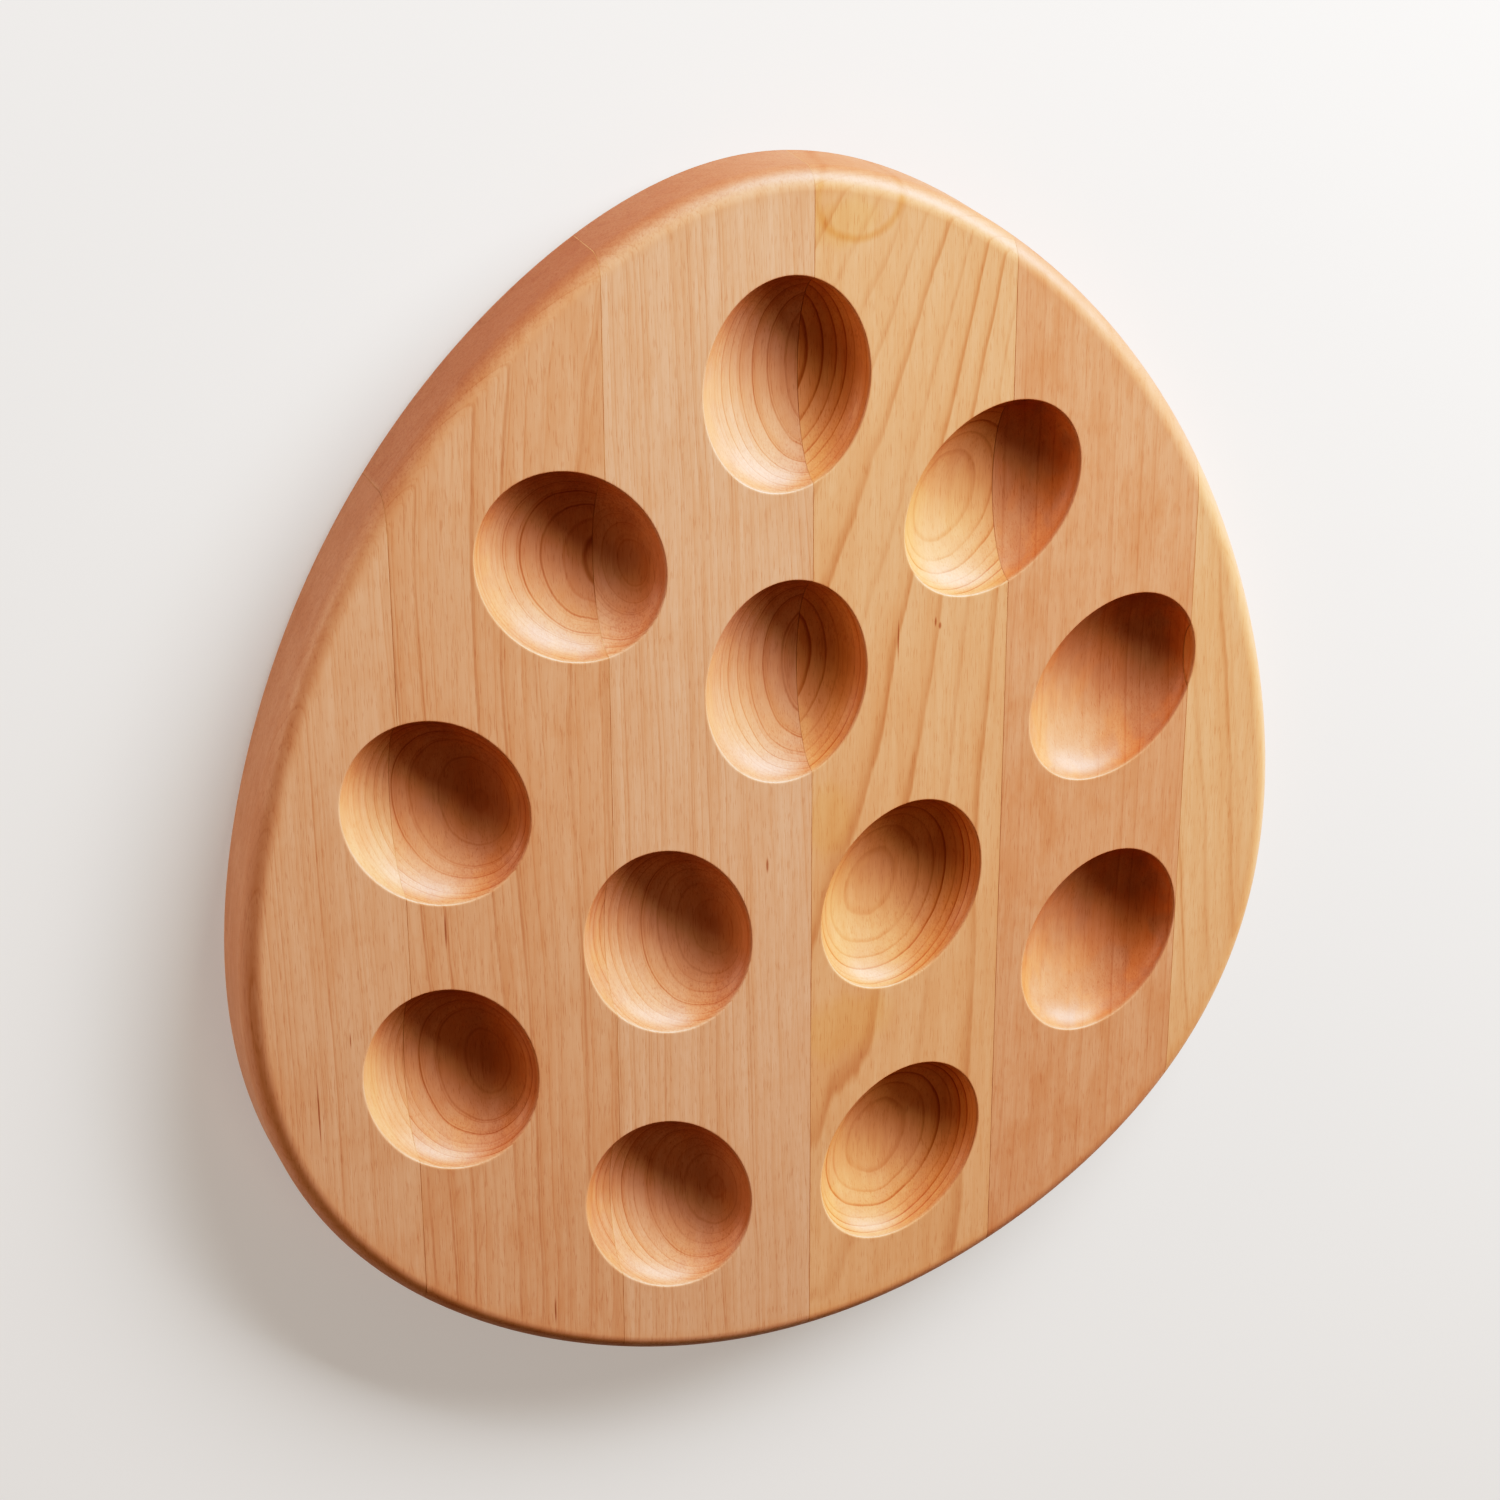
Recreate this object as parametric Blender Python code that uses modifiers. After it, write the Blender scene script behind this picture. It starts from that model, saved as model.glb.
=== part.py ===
"""Egg holder tray: an egg-shaped, edge-glued maple board with twelve oval wells for halved eggs.

Metres, +Z up. The tray lies flat with its wells upwards. The origin is under the middle of the tray,
at the height of its underside, and +Y points to the narrow end. The grain and the glue lines run
along Y.
"""
import math

import bmesh
import bpy

# The board: half sizes of the egg outline, and the four terms that make one end narrower.
THICKNESS = 0.01905
HALF_WIDTH = 0.13234
HALF_LENGTH = 0.15403
TAPER_TERMS = (-0.1830, 0.0501, 0.0217, -0.1179)
TOP_ROUNDING = 0.00476
BOTTOM_ROUNDING = 0.0030

# Six staves of one width, glued edge to edge.
STAVE_WIDTH = 0.0508
FIRST_GLUE_LINE_X = -0.0951
GLUE_LINES = 5
STAVE_GAP = 0.0003
GLUE_FILM = 0.00012
GLUE_INSET = 0.0002

# The wells: one oval bowl, cut twelve times. Two lie on the middle line and five pairs are mirrored.
WELL_HALF_LONG = 0.0257
WELL_HALF_SHORT = 0.0205
WELL_DEPTH = 0.0100
WELL_CENTRE_ABOVE_TOP = 0.0010
MIDDLE_WELLS_Y = (0.1043, 0.0309)
PAIRED_WELLS = (  # x, y and the turn of the long axis from +X in degrees, on the +X side
    (0.0527, 0.0687, 49.6),
    (0.0870, 0.0138, 52.6),
    (0.0307, -0.0319, 66.4),
    (0.0862, -0.0567, 64.5),
    (0.0315, -0.1058, 60.6),
)

OUTLINE_STEPS = 48  # spans along each side, from the wide end to the narrow end
ROUNDING_SEGMENTS = 4
WELL_SEGMENTS = 36
WELL_RINGS = 18
WELD = 0.00001
FLAT = math.radians(1)
RIM = math.radians(60)
SMOOTH_BELOW = math.radians(28)

STAVES = {  # colour, roughness
    "stave_1": ((0.68, 0.42, 0.23), 0.40),
    "stave_2": ((0.70, 0.41, 0.23), 0.38),
    "stave_3": ((0.69, 0.41, 0.24), 0.38),
    "stave_4": ((0.70, 0.44, 0.20), 0.36),
    "stave_5": ((0.71, 0.40, 0.22), 0.38),
    "stave_6": ((0.72, 0.47, 0.27), 0.42),
}
GLUE_COLOUR = (0.34, 0.19, 0.09)
GLUE_ROUGHNESS = 0.55


def clear_scene():
    for old in list(bpy.data.objects):
        bpy.data.objects.remove(old, do_unlink=True)


def material(name, colour, roughness):
    made = bpy.data.materials.new(name)
    made.use_nodes = True
    shader = made.node_tree.nodes["Principled BSDF"]
    shader.inputs["Base Color"].default_value = (*colour, 1.0)
    shader.inputs["Roughness"].default_value = roughness
    shader.inputs["Metallic"].default_value = 0.0
    return made


def outline(shrink):
    """The egg outline, anticlockwise from the middle of the wide end, made smaller all round by shrink."""
    side = []
    for step in range(OUTLINE_STEPS + 1):
        along = math.sin(math.pi * (step / OUTLINE_STEPS - 0.5))
        taper = 1 + sum(term * along ** (power + 1) for power, term in enumerate(TAPER_TERMS))
        half_chord = math.sqrt(max(0.0, 1 - along * along)) * taper
        side.append(((HALF_WIDTH - shrink) * half_chord, (HALF_LENGTH - shrink) * along))
    return side + [(-x, y) for x, y in side[-2:0:-1]]


def board_mesh(name, shrink):
    """The whole board as a thick outline, with the weights that round its two rims."""
    points = outline(shrink)
    curve = bpy.data.curves.new(name, "CURVE")
    curve.dimensions = "2D"
    curve.fill_mode = "BOTH"
    curve.extrude = THICKNESS / 2 - shrink
    spline = curve.splines.new("POLY")
    spline.points.add(len(points) - 1)
    for point, (x, y) in zip(spline.points, points):
        point.co = (x, y, 0.0, 1.0)
    spline.use_cyclic_u = True
    guide = bpy.data.objects.new(name + "_outline", curve)
    bpy.context.scene.collection.objects.link(guide)
    graph = bpy.context.evaluated_depsgraph_get()
    mesh = bpy.data.meshes.new_from_object(guide.evaluated_get(graph))
    bpy.data.objects.remove(guide, do_unlink=True)
    body = bmesh.new()
    body.from_mesh(mesh)
    bmesh.ops.translate(body, vec=(0.0, 0.0, THICKNESS / 2), verts=body.verts)
    bmesh.ops.remove_doubles(body, verts=body.verts, dist=WELD)
    bmesh.ops.dissolve_limit(body, angle_limit=FLAT, verts=body.verts, edges=body.edges)
    bmesh.ops.recalc_face_normals(body, faces=body.faces)
    weights = body.edges.layers.float.new("bevel_weight_edge")
    for edge in body.edges:
        if edge.calc_face_angle() > RIM:
            on_top = edge.verts[0].co.z > THICKNESS / 2
            edge[weights] = 1.0 if on_top else BOTTOM_ROUNDING / TOP_ROUNDING
    body.to_mesh(mesh)
    body.free()
    mesh.name = name
    return mesh


def slab_mesh(name, low_x, high_x):
    """A plain slab between two X positions, longer and taller than the board."""
    body = bmesh.new()
    bmesh.ops.create_cube(body, size=1.0)
    for vertex in body.verts:
        vertex.co.x = low_x if vertex.co.x < 0 else high_x
        vertex.co.y *= 3 * HALF_LENGTH
        vertex.co.z *= 4 * THICKNESS
    mesh = bpy.data.meshes.new(name)
    body.to_mesh(mesh)
    body.free()
    return mesh


def well_places():
    places = [(0.0, y, 90.0) for y in MIDDLE_WELLS_Y]
    for x, y, turn in PAIRED_WELLS:
        places += [(x, y, turn), (-x, y, 180.0 - turn)]
    return places


def wells_mesh(name, grow):
    """Twelve flattened balls that cut the wells. Each is centred a little above the top face."""
    ball_depth = WELL_DEPTH + WELL_CENTRE_ABOVE_TOP
    at_top = math.sqrt(1 - (WELL_CENTRE_ABOVE_TOP / ball_depth) ** 2)
    body = bmesh.new()
    for x, y, turn in well_places():
        ball = bmesh.ops.create_uvsphere(body, u_segments=WELL_SEGMENTS, v_segments=WELL_RINGS, radius=1.0)
        cosine, sine = math.cos(math.radians(turn)), math.sin(math.radians(turn))
        for vertex in ball["verts"]:
            along = vertex.co.x * (WELL_HALF_LONG / at_top + grow)
            across = vertex.co.y * (WELL_HALF_SHORT / at_top + grow)
            vertex.co.x = x + along * cosine - across * sine
            vertex.co.y = y + along * sine + across * cosine
            vertex.co.z = THICKNESS + WELL_CENTRE_ABOVE_TOP + vertex.co.z * (ball_depth + grow)
    mesh = bpy.data.meshes.new(name)
    body.to_mesh(mesh)
    body.free()
    return mesh


def add(name, mesh, collection):
    made = bpy.data.objects.new(name, mesh)
    collection.objects.link(made)
    return made


def cutter(name, mesh, collection):
    made = add(name, mesh, collection)
    made.hide_render = True
    made.display_type = "WIRE"
    return made


def rounded(target):
    bevel = target.modifiers.new("rounded_edges", "BEVEL")
    bevel.limit_method = "WEIGHT"
    bevel.width = TOP_ROUNDING
    bevel.segments = ROUNDING_SEGMENTS


def boolean(target, name, operation, other):
    step = target.modifiers.new(name, "BOOLEAN")
    step.operation = operation
    step.solver = "EXACT"
    step.object = other


def settle(piece, shade):
    """Applies the piece's modifiers, then shades it smooth between its real edges."""
    graph = bpy.context.evaluated_depsgraph_get()
    mesh = bpy.data.meshes.new_from_object(piece.evaluated_get(graph))
    piece.modifiers.clear()
    piece.data = mesh
    mesh.name = piece.name
    mesh.shade_smooth()
    mesh.set_sharp_from_angle(angle=SMOOTH_BELOW)
    mesh.materials.clear()
    mesh.materials.append(shade)


def cut_board(name, shrink, slab, wells, shade, collection):
    """One slice of the rounded board, with the wells cut from it."""
    piece = add(name, board_mesh(name, shrink), collection)
    rounded(piece)
    boolean(piece, "width", "INTERSECT", slab)
    boolean(piece, "wells", "DIFFERENCE", wells)
    settle(piece, shade)


def build():
    clear_scene()
    scene = bpy.context.scene
    tray = bpy.data.collections.new("tray")
    cutters = bpy.data.collections.new("cutters")
    scene.collection.children.link(tray)
    scene.collection.children.link(cutters)

    stave_wells = cutter("cut_wells", wells_mesh("cut_wells", 0.0), cutters)
    glue_wells = cutter("cut_glue_wells", wells_mesh("cut_glue_wells", GLUE_INSET), cutters)
    glue_lines = [FIRST_GLUE_LINE_X + STAVE_WIDTH * index for index in range(GLUE_LINES)]
    beyond = 2 * HALF_WIDTH
    edges = [-beyond] + glue_lines + [beyond]

    for index, (name, (colour, roughness)) in enumerate(STAVES.items()):
        low, high = edges[index] + STAVE_GAP / 2, edges[index + 1] - STAVE_GAP / 2
        slab = cutter("cut_" + name, slab_mesh("cut_" + name, low, high), cutters)
        cut_board(name, 0.0, slab, stave_wells, material(name, colour, roughness), tray)

    glue = material("glue", GLUE_COLOUR, GLUE_ROUGHNESS)
    for index, x in enumerate(glue_lines):
        name = f"glue_line_{index + 1}"
        low, high = x - GLUE_FILM / 2, x + GLUE_FILM / 2
        slab = cutter("cut_" + name, slab_mesh("cut_" + name, low, high), cutters)
        cut_board(name, GLUE_INSET, slab, glue_wells, glue, tray)


build()
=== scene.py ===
"""Looks of the egg holder tray: fine meshes and solid procedural maple, around the CAD frame."""
import math

import bmesh
import bpy
from mathutils import Matrix, Vector


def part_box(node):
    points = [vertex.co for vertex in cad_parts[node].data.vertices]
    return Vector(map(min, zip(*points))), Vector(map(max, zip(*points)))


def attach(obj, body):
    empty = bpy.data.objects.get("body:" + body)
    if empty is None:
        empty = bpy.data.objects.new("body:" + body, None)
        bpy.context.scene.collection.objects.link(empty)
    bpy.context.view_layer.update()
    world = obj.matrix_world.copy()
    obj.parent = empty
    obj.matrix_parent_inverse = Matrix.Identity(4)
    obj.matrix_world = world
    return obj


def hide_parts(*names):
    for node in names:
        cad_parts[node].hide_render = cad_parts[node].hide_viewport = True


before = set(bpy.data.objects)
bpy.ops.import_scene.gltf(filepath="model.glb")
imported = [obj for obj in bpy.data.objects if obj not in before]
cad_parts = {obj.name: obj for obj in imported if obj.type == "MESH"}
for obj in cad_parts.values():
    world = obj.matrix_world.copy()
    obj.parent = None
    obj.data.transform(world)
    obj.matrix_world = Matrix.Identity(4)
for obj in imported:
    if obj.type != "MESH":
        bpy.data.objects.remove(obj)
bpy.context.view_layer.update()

MM = 0.001

# The board, as the CAD model has it: the outline's taper terms, the roundings and the wells.
TAPER_TERMS = (-0.1830, 0.0501, 0.0217, -0.1179)
TOP_ROUNDING = 4.76 * MM
BOTTOM_ROUNDING = 3.0 * MM
WELL_HALF_LONG = 25.7 * MM
WELL_HALF_SHORT = 20.5 * MM
WELL_DEPTH = 10.0 * MM
WELL_CENTRE_ABOVE_TOP = 1.0 * MM
MIDDLE_WELLS_Y = (0.1043, 0.0309)
PAIRED_WELLS = (  # x, y and the turn of the long axis from +X in degrees, on the +X side
    (0.0527, 0.0687, 49.6),
    (0.0870, 0.0138, 52.6),
    (0.0307, -0.0319, 66.4),
    (0.0862, -0.0567, 64.5),
    (0.0315, -0.1058, 60.6),
)

OUTLINE_STEPS = 150  # spans along each side of the outline
ROUNDING_STEPS = 10
WELL_SEGMENTS = 112
WELL_RINGS = 26
RIM_EASE = 0.45 * MM  # how far the sharp rim of a well is sanded round
RIM_STEPS = 5
WALL_SLOPE = math.radians(79)  # of a well's wall just below its rim, from level
GUARD = 0.3 * MM  # a flat ring beside each rounded edge, which keeps the flat faces' shading flat
FILM_GAP = 0.02 * MM  # visible gap on each side of a glue film


def frame_box(names):
    lows, highs = zip(*(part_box(name) for name in names))
    return (Vector(map(min, zip(*lows))), Vector(map(max, zip(*highs))))


STAVES = [f"stave_{number}" for number in range(1, 7)]
GLUE_LINES = [f"glue_line_{number}" for number in range(1, 6)]
low_corner, high_corner = frame_box(STAVES)
THICKNESS = high_corner.z
HALF_LENGTH = high_corner.y


def chord(along):
    """Half the board's width, not to scale. along goes from -1 at the wide end to 1 at the narrow end."""
    taper = 1 + sum(term * along ** (power + 1) for power, term in enumerate(TAPER_TERMS))
    return math.sqrt(max(0.0, 1 - along * along)) * taper


HALF_WIDTH = high_corner.x / max(chord(-1 + step / 1000) for step in range(2001))


def outline():
    """The egg outline, anticlockwise from the middle of the wide end."""
    side = []
    for step in range(OUTLINE_STEPS + 1):
        along = math.sin(math.pi * (step / OUTLINE_STEPS - 0.5))
        side.append(Vector((HALF_WIDTH * chord(along), HALF_LENGTH * along)))
    return side + [Vector((-point.x, point.y)) for point in side[-2:0:-1]]


def moved_in(points, distance):
    """A closed anticlockwise line moved inwards by a distance, point by point."""
    moved = []
    for index, point in enumerate(points):
        run = points[(index + 1) % len(points)] - points[index - 1]
        run.normalize()
        moved.append(point + distance * Vector((-run.y, run.x)))
    return moved


def wells():
    places = [(0.0, y, 90.0) for y in MIDDLE_WELLS_Y]
    for x, y, turn in PAIRED_WELLS:
        places += [(x, y, turn), (-x, y, 180.0 - turn)]
    return places


def oval(x, y, turn, scale):
    """A well's rim, times scale, anticlockwise."""
    cosine, sine = math.cos(math.radians(turn)), math.sin(math.radians(turn))
    points = []
    for step in range(WELL_SEGMENTS):
        angle = 2 * math.pi * step / WELL_SEGMENTS
        along = WELL_HALF_LONG * scale * math.cos(angle)
        across = WELL_HALF_SHORT * scale * math.sin(angle)
        points.append(Vector((x + along * cosine - across * sine, y + along * sine + across * cosine)))
    return points


def well_rings(x, y, turn):
    """The rings of a well from the flat face down to the ring round its lowest point: (points, height)."""
    ball = WELL_DEPTH + WELL_CENTRE_ABOVE_TOP
    at_top = math.sqrt(1 - (WELL_CENTRE_ABOVE_TOP / ball) ** 2)
    reach = RIM_EASE * math.tan(WALL_SLOPE / 2)
    rim = oval(x, y, turn, 1.0)
    rings = [(moved_in(rim, -reach - GUARD), THICKNESS)]
    for step in range(RIM_STEPS + 1):
        angle = WALL_SLOPE * step / RIM_STEPS
        inwards = RIM_EASE * math.sin(angle) - reach
        rings.append((moved_in(rim, inwards), THICKNESS - RIM_EASE * (1 - math.cos(angle))))
    eased = RIM_EASE * (1 - math.cos(WALL_SLOPE))
    start = math.acos((WELL_CENTRE_ABOVE_TOP + eased) / ball)
    for step in range(1, WELL_RINGS):
        angle = start * (1 - step / WELL_RINGS)
        height = THICKNESS + WELL_CENTRE_ABOVE_TOP - ball * math.cos(angle)
        rings.append((oval(x, y, turn, math.sin(angle) / at_top), height))
    return rings


def ring_vertices(body, points, height):
    return [body.verts.new((point.x, point.y, height)) for point in points]


def bridge(body, outer, inner):
    """Quads between two rings of the same length. The faces point up where outer is outside."""
    count = len(outer)
    for index in range(count):
        after = (index + 1) % count
        body.faces.new((outer[index], outer[after], inner[after], inner[index]))


def ring_edges(body, ring):
    return [body.edges.get((ring[index - 1], ring[index])) for index in range(len(ring))]


def whole_board():
    """The whole board as one closed mesh, before it is sawn into staves."""
    body = bmesh.new()
    edge = outline()
    profile = []  # distance inwards and height, from the underside up
    profile.append((BOTTOM_ROUNDING + GUARD, 0.0))
    for step in range(ROUNDING_STEPS + 1):
        angle = 0.5 * math.pi * step / ROUNDING_STEPS
        profile.append((BOTTOM_ROUNDING * (1 - math.sin(angle)), BOTTOM_ROUNDING * (1 - math.cos(angle))))
    for step in range(ROUNDING_STEPS + 1):
        angle = 0.5 * math.pi * step / ROUNDING_STEPS
        inwards = TOP_ROUNDING * (1 - math.cos(angle))
        profile.append((inwards, THICKNESS - TOP_ROUNDING * (1 - math.sin(angle))))
    profile.append((TOP_ROUNDING + GUARD, THICKNESS))
    rings = [ring_vertices(body, moved_in(edge, inwards), height) for inwards, height in profile]
    for lower, upper in zip(rings, rings[1:]):
        bridge(body, lower, upper)
    body.faces.new(reversed(rings[0]))
    open_edges = ring_edges(body, rings[-1])
    for place in wells():
        sunk = [ring_vertices(body, points, height) for points, height in well_rings(*place)]
        for outer, inner in zip(sunk, sunk[1:]):
            bridge(body, outer, inner)
        middle = body.verts.new((place[0], place[1], THICKNESS - WELL_DEPTH))
        last = sunk[-1]
        for index in range(len(last)):
            body.faces.new((last[index - 1], last[index], middle))
        open_edges += ring_edges(body, sunk[0])
    bmesh.ops.triangle_fill(body, use_beauty=True, use_dissolve=False, edges=open_edges, normal=(0, 0, 1))
    bmesh.ops.recalc_face_normals(body, faces=body.faces)
    return body


def slice_of(board, name, low_x, high_x):
    """The part of the board between two X positions, closed again where it was sawn."""
    body = board.copy()
    for x, keep in ((low_x, 1), (high_x, -1)):
        plane = bmesh.ops.bisect_plane(
            body, geom=body.verts[:] + body.edges[:] + body.faces[:], dist=1e-7,
            plane_co=(x, 0, 0), plane_no=(-keep, 0, 0), clear_outer=True)
        sawn = [item for item in plane["geom_cut"] if isinstance(item, bmesh.types.BMEdge)]
        if sawn:
            bmesh.ops.contextual_create(body, geom=sawn)
    bmesh.ops.recalc_face_normals(body, faces=body.faces)
    mesh = bpy.data.meshes.new(name)
    body.to_mesh(mesh)
    body.free()
    mesh.shade_smooth()
    mesh.set_sharp_from_angle(angle=math.radians(40))
    piece = bpy.data.objects.new(name, mesh)
    bpy.context.scene.collection.objects.link(piece)
    return piece


class Nodes:
    """A material and its node tree. Most methods add one node and return its output socket."""

    def __init__(self, name):
        self.material = bpy.data.materials.new(name)
        self.material.use_nodes = True
        self.tree = self.material.node_tree
        self.shader = self.tree.nodes["Principled BSDF"]
        coordinates = self.tree.nodes.new("ShaderNodeTexCoord")
        self.place = coordinates.outputs["Object"]
        self.normal = coordinates.outputs["Normal"]

    def set(self, socket, value):
        if isinstance(value, bpy.types.NodeSocket):
            self.tree.links.new(value, socket)
        else:
            socket.default_value = value

    def math(self, operation, *values):
        node = self.tree.nodes.new("ShaderNodeMath")
        node.operation = operation
        for socket, value in zip(node.inputs, values):
            self.set(socket, value)
        return node.outputs[0]

    def product(self, first, *others):
        for other in others:
            first = self.math("MULTIPLY", first, other)
        return first

    def vector(self, operation, *values):
        node = self.tree.nodes.new("ShaderNodeVectorMath")
        node.operation = operation
        for socket, value in zip(node.inputs, values):
            self.set(socket, value)
        return node.outputs["Value" if operation in ("DOT_PRODUCT", "LENGTH") else "Vector"]

    def scaled(self, centre, lengths):
        """The place on the surface measured from a centre, in units of three lengths, all in metres."""
        from_centre = self.vector("SUBTRACT", self.place, centre)
        return self.vector("MULTIPLY", from_centre, [1 / length for length in lengths])

    def away(self, x, y, height, lengths):
        """The distance from x, y (in mm) and height, as 1 on an ellipsoid of three half-lengths."""
        return self.vector("LENGTH", self.scaled((x * MM, y * MM, height), lengths))

    def parts(self, place):
        node = self.tree.nodes.new("ShaderNodeSeparateXYZ")
        self.set(node.inputs[0], place)
        return node.outputs

    def joined(self, *values):
        node = self.tree.nodes.new("ShaderNodeCombineXYZ")
        for socket, value in zip(node.inputs, values):
            self.set(socket, value)
        return node.outputs[0]

    def noise(self, place, detail=2.0, roughness=0.5):
        """Noise from 0 to 1, about 0.5, with one lump in each unit of its place."""
        node = self.tree.nodes.new("ShaderNodeTexNoise")
        self.set(node.inputs["Vector"], place)
        node.inputs["Scale"].default_value = 1.0
        node.inputs["Detail"].default_value = detail
        node.inputs["Roughness"].default_value = roughness
        return node.outputs[0]

    def lot(self, number):
        """A steady random value for each whole number."""
        node = self.tree.nodes.new("ShaderNodeTexWhiteNoise")
        node.noise_dimensions = "1D"
        self.set(node.inputs["W"], number)
        return node.outputs["Value"]

    def span(self, value, low, high, new_low=0.0, new_high=1.0):
        """Smoothly maps low..high to new_low..new_high, and holds beyond them."""
        node = self.tree.nodes.new("ShaderNodeMapRange")
        node.interpolation_type = "SMOOTHSTEP"
        for socket, number in zip(node.inputs, (value, low, high, new_low, new_high)):
            self.set(socket, number)
        return node.outputs[0]

    def mix(self, amount, colour, other, blend="MIX"):
        node = self.tree.nodes.new("ShaderNodeMix")
        node.data_type, node.blend_type = "RGBA", blend
        self.set(node.inputs["Factor"], amount)
        for socket, value in ((node.inputs[6], colour), (node.inputs[7], other)):
            self.set(socket, value if isinstance(value, bpy.types.NodeSocket) else (*value, 1))
        return node.outputs[2]

    def tinted(self, amount, colour, tint):
        """The colour times the tint, as far as amount goes."""
        return self.mix(amount, colour, tint, "MULTIPLY")

    def bump(self, height, distance, strength):
        node = self.tree.nodes.new("ShaderNodeBump")
        node.inputs["Strength"].default_value = strength
        node.inputs["Distance"].default_value = distance
        self.set(node.inputs["Height"], height)
        self.set(self.shader.inputs["Normal"], node.outputs[0])


# Growth layers: a stave's layer number is a smooth function of the place in it, measured from the stave's
# middle in units of LAYER_UNIT. Each whole number begins a new layer, and the dark line is just before it.
# tilt and curve are per axis, twist and flare turn and spread the layers along the board, bend curves them
# lengthwise, and first is the number at the stave's middle.
LAYER_UNIT = (25 * MM, 100 * MM, 10 * MM)
LAYER_HEIGHT = 15 * MM  # the height that the layers are measured from
LINE_PEAK = 0.92  # where in its layer the dark line is darkest

# The looks of each stave: colour is the wood's base colour. lines is the strength of the dark lines, width
# their width as a share of a layer, and late the strength of the tone that deepens towards them. on_face is
# the share of both that shows on the flat face, where the cut runs with the grain. fine is the strength of
# the thinner layers between the main ones. blotch is how patchy the tone is, and pores the strength of the
# vessels where the cut crosses the grain. The last entry holds the wells' two tints, patch by patch: partly
# the wood's own colour where the wells cut the layers, partly painted shade that darkens the wells. seed
# moves the noise, so that no two staves share it.
MAPLE = {
    "stave_1": dict(
        colour=(0.530, 0.302, 0.196), first=0.30, tilt=(-7.6, -0.45, 6.3), curve=(1.2, -0.3, 0.4),
        twist=-0.5, bend=0.4, flare=0.0, lines=0.55, blotch=0.6, seed=1.3, width=0.08,
        late=0.45, on_face=0.5, fine=1.1, pores=0.15, wells_tint_and_shade=((1.02, 0.91, 0.75), (1.0, 0.84, 0.71))),
    "stave_2": dict(
        colour=(0.515, 0.284, 0.178), first=-0.22, tilt=(-3.69, -0.58, 7.01), curve=(0.91, 0.55, 6.20),
        twist=0.49, bend=2.03, flare=0.0, lines=1.0, blotch=0.7, seed=2.7, width=0.08,
        late=0.65, on_face=0.5, fine=1.1, pores=0.2, wells_tint_and_shade=((0.94, 0.77, 0.63), (0.88, 0.75, 0.70))),
    "stave_3": dict(
        colour=(0.541, 0.315, 0.210), first=-0.09, tilt=(-5.92, -0.52, 5.97), curve=(0.57, -0.32, 4.67),
        twist=-0.49, bend=-0.24, flare=0.0, lines=0.8, blotch=0.5, seed=3.1, width=0.08,
        late=0.6, on_face=0.5, fine=1.1, pores=0.25, wells_tint_and_shade=((0.97, 0.79, 0.66), (0.92, 0.77, 0.70))),
    "stave_4": dict(
        colour=(0.560, 0.306, 0.178), first=1.00, tilt=(2.24, -1.29, 6.59), curve=(1.11, -1.40, 1.90),
        twist=0.98, bend=-2.40, flare=0.26, lines=1.0, blotch=0.4, seed=4.9, width=0.20,
        late=0.75, on_face=0.6, fine=0.15, pores=0.15, wells_tint_and_shade=((1.0, 0.85, 0.66), (0.96, 0.80, 0.66))),
    "stave_5": dict(
        colour=(0.508, 0.264, 0.160), first=0.10, tilt=(6.2, -0.35, 1.2), curve=(0.8, 0.3, 0.3),
        twist=0.3, bend=0.5, flare=0.0, lines=0.35, blotch=1.0, seed=5.6, width=0.12,
        late=0.3, on_face=0.7, fine=0.4, pores=0.1, wells_tint_and_shade=((1.0, 0.79, 0.61), (0.88, 0.78, 0.73))),
    "stave_6": dict(
        colour=(0.568, 0.314, 0.182), first=0.45, tilt=(2.6, 1.1, 6.4), curve=(-1.5, -0.8, 0.5),
        twist=-0.8, bend=-0.8, flare=0.0, lines=0.6, blotch=0.4, seed=6.2, width=0.14,
        late=0.4, on_face=0.75, fine=0.4, pores=0.15, wells_tint_and_shade=((1.0, 0.85, 0.66), (1.0, 0.81, 0.66))),
}

QUIET = {"stave_3": ((-36.0, 69.0, 18.0),)}  # x, y and reach in mm of places where the lines all but vanish

PAINTED_WELL_SHADE = {  # x, y and reach in mm of painted shade: darker, redder spots on the upper right walls of some wells
    "stave_2": ((-74.5, 14.5, 9.0), (-52.5, 80.5, 8.0), (-73.5, -55.5, 9.0)),
    "stave_3": ((-16.0, -24.0, 7.0),),
    "stave_5": ((91.0, 16.0, 9.0), (91.0, -52.0, 9.0)),
}
PAINTED_SHADE_HEIGHT = 10.5 * MM  # the height of the painted shade's middle, between a well's floor and its middle height
PAINTED_SHADE_SHAPE = (0.8, 1.5, 0.4)  # half-lengths of the painted shade, as shares of the reach

YELLOW_PATCHES = {  # x, y, half-length and half-width in mm of yellower wood on the face
    "stave_4": ((13, 141, 10, 18), (12, -7, 18, 12), (16, -65, 16, 20)),
}

ARCS = {  # x, y and half-lengths in mm of a growth line that comes up through the face as an arc
    "stave_4": ((17.6, 146.5, 10.5, 10.0),),
}

FLECKS = {  # x, y, length and width in mm of the short dark marks in each stave
    "stave_1": ((-118.9, -58.0, 22.0, 0.5), (-110.3, -40.1, 5.0, 0.4)),
    "stave_2": ((-86.1, -16.4, 11.0, 0.7), (-62.3, -128.7, 9.0, 0.6)),
    "stave_3": ((-5.1, -16.3, 5.0, 0.8),),
    "stave_4": ((38.3, 39.8, 3.2, 0.7), (39.5, 38.6, 2.2, 0.9), (28.6, 37.0, 12.0, 0.5)),
}


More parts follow.
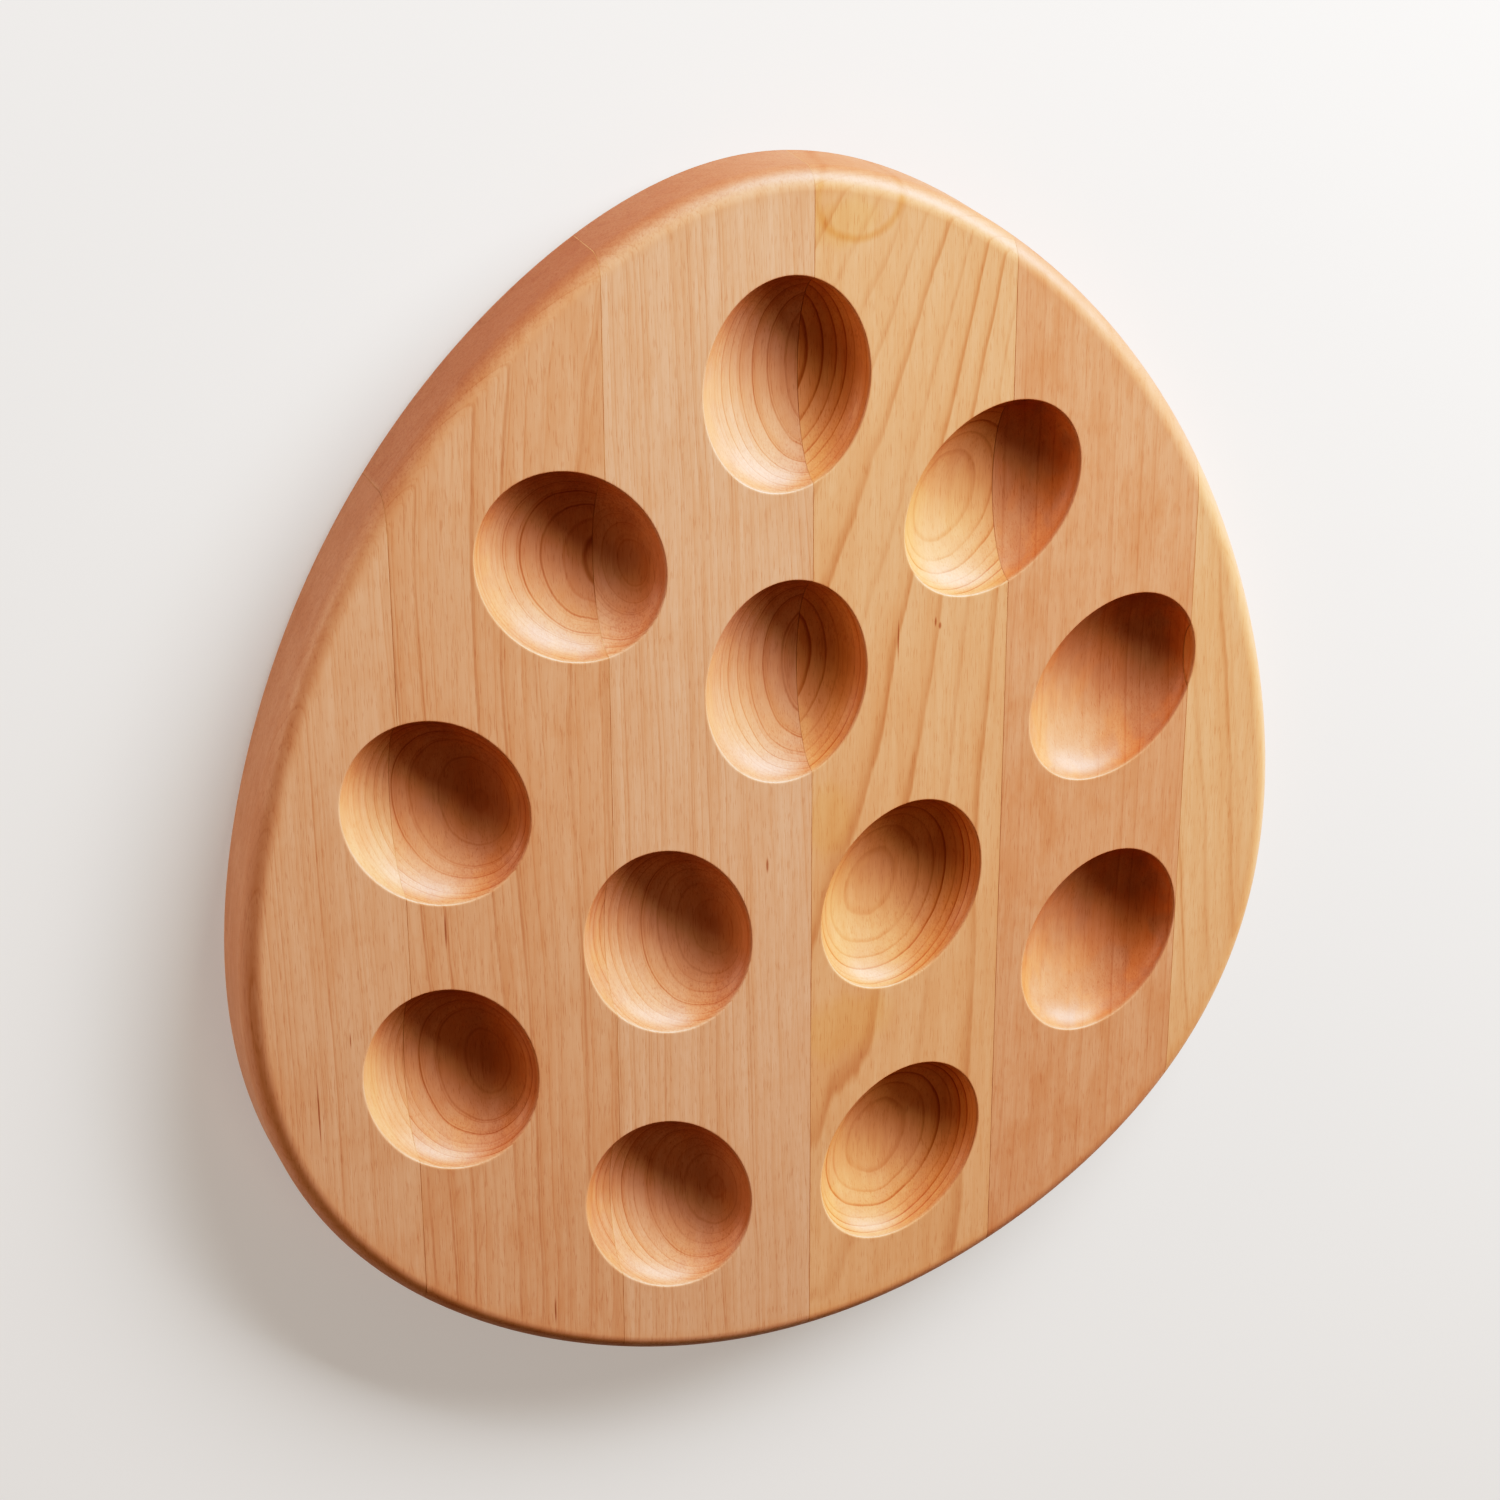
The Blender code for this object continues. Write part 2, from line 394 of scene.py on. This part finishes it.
class Wood(Nodes):
    """The noises, the growth layers and the places on the board that one stave's maple is made from."""

    def __init__(self, name, look):
        super().__init__(name + "_maple")
        self.name, self.look, self.seed = name, look, look["seed"]
        low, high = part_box(name)
        self.middle_x = (low.x + high.x) / 2
        self.height = self.parts(self.place)[2]
        self.jitter = self.math("MULTIPLY_ADD", self.grain(1.6, 9), 0.08, -0.04)
        self.fading = self.span(self.grain(7, 38), 0.32, 0.62, 0.45, 1.0)
        self.fibres = self.grain(0.45, 13, 3.0, 0.6)
        self.pores = self.span(self.grain(0.3, 4, 1.0), 0.58, 0.70)
        self.blotches = self.grain(8, 24, 3.0, 0.6)
        self.clouds = self.grain(3.5, 8, 4.0, 0.6)
        self.edge = self.span(self.outness(), 0.95, 0.98)  # 0 on the face and in the wells, 1 at the edge
        self.off_edge = self.math("MULTIPLY_ADD", self.edge, -0.65, 1.0)
        self.along_grain = self.math("ABSOLUTE", self.parts(self.normal)[1])  # 1 where the cut is end grain

    def grain(self, width, length, detail=2.0, roughness=0.5):
        """Noise in lumps of this width across the grain and this length along it, in mm."""
        centre = (self.seed * 0.37, self.seed * 0.91, self.seed * 0.53)
        return self.noise(self.scaled(centre, (width * MM, length * MM, width * MM)), detail, roughness)

    def outness(self):
        """How far out a place is on the board: 0 in the middle and 1 on the outline."""
        x, y, _ = self.parts(self.place)
        along = self.math("DIVIDE", y, HALF_LENGTH)
        taper = 0.0
        for term in (*reversed(TAPER_TERMS), 1.0):
            taper = self.math("MULTIPLY_ADD", taper, along, term)
        across = self.math("DIVIDE", self.math("DIVIDE", x, HALF_WIDTH), taper)
        return self.vector("LENGTH", self.joined(across, along))

    def layer_number(self):
        look = self.look
        place = self.scaled((self.middle_x, 0, LAYER_HEIGHT), LAYER_UNIT)
        squares = self.vector("MULTIPLY", place, place)
        across, along, _ = self.parts(place)
        across_squared, along_squared, _ = self.parts(squares)
        mixed = self.joined(
            self.product(across, along),
            self.product(along_squared, along),
            self.product(across_squared, along))
        number = self.vector("DOT_PRODUCT", place, look["tilt"])
        for terms, weights in (
                (squares, [0.5 * value for value in look["curve"]]),
                (mixed, (look["twist"], look["bend"] / 6, look["flare"] / 2))):
            number = self.math("ADD", number, self.vector("DOT_PRODUCT", terms, weights))
        return self.math("ADD", number, look["first"])

    def layers(self, number):
        """Each layer's dark line and the tone that deepens towards it, each as strong as the layer's lot."""
        across_layer = self.math("FRACT", number)
        layer_lot = self.lot(self.math("FLOOR", number))
        drop = self.span(across_layer, LINE_PEAK, 1.0, 1.0, 0.0)
        line = self.product(self.span(across_layer, LINE_PEAK - self.look["width"], LINE_PEAK), drop)
        tone = self.product(self.span(across_layer, 0.2, LINE_PEAK), drop)
        strength = self.product(self.span(layer_lot, 0.0, 0.7, 0.4, 1.0), self.fading)
        return self.product(line, strength), self.product(tone, layer_lot)


def growth(wood, surface, deep):
    """Adds the growth layers, and returns the surface and how far each place is on a dark line."""
    look = wood.look
    number = wood.layer_number()
    number = wood.math("ADD", number, wood.math("MULTIPLY_ADD", wood.grain(14, 60), 0.6, -0.3))
    number = wood.math("ADD", number, wood.jitter)
    uneven = wood.noise(wood.joined(wood.product(number, 0.8), wood.seed, wood.seed), 0.0)
    number = wood.math("ADD", number, wood.math("MULTIPLY_ADD", uneven, 0.3, -0.15))

    near_face = (THICKNESS - 0.8 * MM, THICKNESS - 0.1 * MM)
    shown = wood.product(wood.span(wood.height, *near_face, 1.0, look["on_face"]), wood.off_edge)
    for x, y, reach in QUIET.get(wood.name, ()):
        away = wood.away(x, y, THICKNESS, [reach * MM] * 3)
        shown = wood.product(shown, wood.span(away, 0.7, 1.3, 0.2, 1.0))
    line, late = wood.layers(number)
    line = wood.product(line, look["lines"], shown)
    surface = wood.mix(wood.product(late, look["late"], shown), surface, deep)

    finer = wood.math("MULTIPLY_ADD", number, 2.3, wood.product(uneven, 3.0))
    fine_line, fine_late = wood.layers(finer)
    finer_shown = wood.product(wood.off_edge, look["fine"])
    surface = wood.mix(wood.product(fine_late, 0.3, finer_shown), surface, deep)
    surface = wood.tinted(wood.product(fine_line, 0.4, finer_shown), surface, (0.78, 0.64, 0.50))
    return wood.tinted(line, surface, (0.66, 0.52, 0.38)), line


def marks(wood, surface):
    """Adds the marks of this stave alone: painted shade on the upper right walls of some wells, yellow
    patches, arcs and flecks.
    """
    # Painted shade: darker, redder spots on the upper right walls of some wells, the walls that the key
    # light from the upper right leaves in shade.
    for x, y, reach in PAINTED_WELL_SHADE.get(wood.name, ()):
        away = wood.away(x, y, PAINTED_SHADE_HEIGHT, [share * reach * MM for share in PAINTED_SHADE_SHAPE])
        shade_spot = wood.math("ADD", away, wood.math("MULTIPLY_ADD", wood.clouds, 2.0, -1.0))
        surface = wood.tinted(wood.span(shade_spot, 0.2, 1.4, 0.35, 0.0), surface, (0.84, 0.66, 0.52))
    for x, y, length, width in YELLOW_PATCHES.get(wood.name, ()):
        away = wood.away(x, y, THICKNESS, (width * MM, length * MM, 8 * MM))
        patch = wood.math("ADD", away, wood.product(wood.blotches, 0.8))
        amount = wood.product(wood.span(patch, 0.7, 1.1, 1, 0), 0.5)
        surface = wood.tinted(amount, surface, (0.98, 0.93, 0.70))
    for x, y, half_width, half_length in ARCS.get(wood.name, ()):
        away = wood.away(x, y, THICKNESS, (half_width * MM, half_length * MM, 30 * MM))
        off_arc = wood.math("SUBTRACT", wood.math("ADD", away, wood.jitter), 1.0)
        arc = wood.span(wood.math("ABSOLUTE", off_arc), 0.0, 0.16, 0.7, 0.0)
        surface = wood.tinted(arc, surface, (0.86, 0.74, 0.52))
    for x, y, length, width in FLECKS.get(wood.name, ()):
        away = wood.away(x, y, THICKNESS, (0.5 * width * MM, 0.5 * length * MM, 2 * MM))
        fleck = wood.math("ADD", away, wood.product(wood.jitter, 4.0))
        amount = wood.product(wood.span(fleck, 0.3, 1.1, 1, 0), 0.75)
        surface = wood.tinted(amount, surface, (0.42, 0.26, 0.16))
    return surface


def cut_tones(wood, surface):
    """Adds what depends on the cut: dark end grain, a warmer edge and open vessels; and the wells' tints,
    partly the cut's colour and partly painted shade.

    Returns the surface and how far each place is end grain.
    """
    edge_share = wood.math("MULTIPLY_ADD", wood.edge, 0.65, 0.35)
    end_grain = wood.product(wood.span(wood.along_grain, 0.15, 1.0), edge_share)
    surface = wood.tinted(end_grain, surface, (0.54, 0.38, 0.30))
    surface = wood.tinted(wood.edge, surface, (0.96, 0.90, 0.83))

    # The wells' tints: partly the wood's own colour where the wells cut the layers, partly painted shade
    # that darkens the wells, their walls more than their floors.
    patches = wood.math("MULTIPLY_ADD", wood.clouds, 0.35, wood.grain(8, 14))
    tints = wood.mix(wood.span(patches, 0.58, 0.76), *wood.look["wells_tint_and_shade"])
    upright = wood.span(wood.parts(wood.normal)[2], 0.75, 0.99, 1.0, 0.5)
    sunk = wood.span(wood.height, THICKNESS - 1.2 * MM, THICKNESS - 0.1 * MM, 1.0, 0.0)
    well_tint_and_shade_share = wood.product(upright, sunk, wood.math("SUBTRACT", 1.0, wood.edge))
    surface = wood.tinted(well_tint_and_shade_share, surface, tints)

    vessels = wood.product(wood.span(wood.grain(0.5, 0.9, 1.0), 0.48, 0.64),
                           wood.span(wood.along_grain, 0.1, 0.5, 0.0, wood.look["pores"]))
    return wood.tinted(vessels, surface, (0.58, 0.48, 0.42)), end_grain


def maple(name, look):
    """Oiled maple in solid wood: bands, blotches, fibres, growth layers and pores, and the cut's tones."""
    wood = Wood(name, look)
    colour, blotch = look["colour"], look["blotch"]
    deep = [value * factor for value, factor in zip(colour, (0.87, 0.74, 0.60))]
    pale = [value * factor for value, factor in zip(colour, (1.06, 1.11, 1.16))]
    surface = wood.mix(wood.span(wood.grain(2.2, 55), 0.25, 0.75), pale, colour)
    for noise, low, high, strength in (
            (wood.blotches, 0.42, 0.75, 0.55 * blotch),
            (wood.fibres, 0.45, 0.75, 0.35),
            (wood.clouds, 0.45, 0.75, 0.4 * blotch)):
        surface = wood.mix(wood.product(wood.span(noise, low, high), strength), surface, deep)
    surface, line = growth(wood, surface, deep)
    surface = wood.tinted(wood.product(wood.pores, 0.3), surface, (0.66, 0.52, 0.40))
    surface = marks(wood, surface)
    surface, end_grain = cut_tones(wood, surface)

    wood.set(wood.shader.inputs["Base Color"], surface)
    rough = wood.math("MULTIPLY_ADD", wood.fibres, 0.16, 0.38)
    wood.set(wood.shader.inputs["Roughness"], wood.math("MULTIPLY_ADD", end_grain, 0.10, rough))
    relief = wood.math("MULTIPLY_ADD", line, -0.2, wood.fibres)
    wood.bump(wood.math("MULTIPLY_ADD", wood.pores, -0.6, relief), 0.025 * MM, 0.5)
    return wood.material


GLUE_TONE = {  # the brightness of each glue line
    "glue_line_1": 0.46, "glue_line_2": 0.48, "glue_line_3": 0.40, "glue_line_4": 0.34, "glue_line_5": 0.46}


def glue_film(name, tone):
    """Dried wood glue: brown, with darker and lighter stretches along the line, and speckled."""
    nodes = Nodes(name + "_glue")
    stretches = nodes.noise(nodes.scaled((0, 0, 0), (2 * MM, 9 * MM, 2 * MM)), 3.0)
    speckles = nodes.noise(nodes.scaled((0, 0, 0), (0.2 * MM, 0.3 * MM, 0.2 * MM)))
    light = [tone * value for value in (1.0, 0.52, 0.25)]
    dark = [tone * value for value in (0.66, 0.30, 0.13)]
    surface = nodes.mix(nodes.span(stretches, 0.3, 0.7), light, dark)
    surface = nodes.mix(nodes.span(speckles, 0.5, 0.8, 0.0, 0.3), surface, (0.45, 0.24, 0.12))
    nodes.set(nodes.shader.inputs["Base Color"], surface)
    nodes.set(nodes.shader.inputs["Roughness"], nodes.math("MULTIPLY_ADD", speckles, 0.25, 0.42))
    nodes.bump(speckles, 0.03 * MM, 0.5)
    return nodes.material


def build_pieces():
    board = whole_board()
    edges = [-1.0]  # the X positions of the saw cuts, from far outside the board to far outside it
    for name in GLUE_LINES:
        low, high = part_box(name)
        edges += [low.x, high.x]
    edges.append(1.0)
    pieces = {}
    for index, name in enumerate(STAVES):
        low_x, high_x = edges[2 * index], edges[2 * index + 1]
        pieces[name] = slice_of(board, name + "_maple", low_x + FILM_GAP, high_x - FILM_GAP)
    for index, name in enumerate(GLUE_LINES):
        pieces[name] = slice_of(board, name + "_film", edges[2 * index + 1], edges[2 * index + 2])
    board.free()
    for name, piece in pieces.items():
        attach(piece, "root")
        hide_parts(name)
    return pieces


pieces = build_pieces()
for name, piece in pieces.items():
    made = maple(name, MAPLE[name]) if name in MAPLE else glue_film(name, GLUE_TONE[name])
    piece.data.materials.append(made)

# Camera: at the photograph's view, with its right, down and forward directions.
CAMERA_PLACE = Vector((-0.29762, 0.37301, 0.69874))
RIGHT = Vector((0.92011, -0.00311, 0.39164))
DOWN = Vector((-0.17337, -0.89990, 0.40016))
LOOK = Vector((0.35119, -0.43609, -0.82854))
lens = bpy.data.cameras.new("camera")
lens.sensor_width = 36.0
lens.lens = 83.82  # from the photograph's perspective
camera = bpy.data.objects.new("camera", lens)
bpy.context.scene.collection.objects.link(camera)
turn = Matrix((RIGHT, -DOWN, -LOOK)).transposed().to_4x4()
camera.matrix_world = Matrix.Translation(CAMERA_PLACE) @ turn
bpy.context.scene.camera = camera

# Floor and light.
mesh = bpy.data.meshes.new("floor")
body = bmesh.new()
bmesh.ops.create_grid(body, x_segments=1, y_segments=1, size=8.0)
body.to_mesh(mesh)
body.free()
floor = bpy.data.objects.new("floor", mesh)
bpy.context.scene.collection.objects.link(floor)
floor_look = Nodes("floor")
floor_look.shader.inputs["Base Color"].default_value = (0.55, 0.55, 0.55, 1)
floor_look.shader.inputs["Emission Color"].default_value = (1.0, 0.98, 0.96, 1)
floor_look.shader.inputs["Emission Strength"].default_value = 0.28  # pale even far from the lamps
floor_look.shader.inputs["Roughness"].default_value = 0.6
floor.data.materials.append(floor_look.material)


def area_light(name, azimuth, elevation, distance, size, power, colour):
    """A soft box that looks at the middle of the board from a direction in degrees, azimuth from +X."""
    light = bpy.data.lights.new(name, "AREA")
    light.shape = "RECTANGLE"
    light.size, light.size_y = size
    light.energy = power
    light.color = colour
    lamp = bpy.data.objects.new(name, light)
    bpy.context.scene.collection.objects.link(lamp)
    azimuth, elevation = math.radians(azimuth), math.radians(elevation)
    from_middle = Vector((math.cos(azimuth) * math.cos(elevation),
                          math.sin(azimuth) * math.cos(elevation), math.sin(elevation)))
    lamp.location = distance * from_middle
    lamp.rotation_euler = from_middle.to_track_quat("Z", "Y").to_euler()


area_light("key", 50, 23, 1.25, (1.4, 0.42), 52, (1.0, 0.98, 0.96))
area_light("low_left", 168, 9, 1.2, (0.5, 0.2), 5, (1.0, 0.75, 0.62))
area_light("front", 300, 60, 1.3, (0.6, 0.6), 1.5, (1.0, 0.65, 0.45))
world = bpy.data.worlds.new("world")
bpy.context.scene.world = world
world.use_nodes = True
world.node_tree.nodes["Background"].inputs[0].default_value = (1.0, 0.84, 0.64, 1)
world.node_tree.nodes["Background"].inputs[1].default_value = 0.17

# A photograph's tone curve: deeper shade, and highlights that roll off. It maps light, as a share of
# BRIGHTEST, to the shown brightness.
BRIGHTEST = 1.6
TONE_CURVE = (
    (0.02, 0.004), (0.0625, 0.05), (0.125, 0.15), (0.22, 0.335), (0.344, 0.55), (0.475, 0.71), (0.64, 0.84))
view = bpy.context.scene.view_settings
view.view_transform = "Standard"
view.use_curve_mapping = True
view.curve_mapping.white_level = [BRIGHTEST] * 3
for light, shown in TONE_CURVE:
    view.curve_mapping.curves[3].points.new(light, shown)
view.curve_mapping.update()
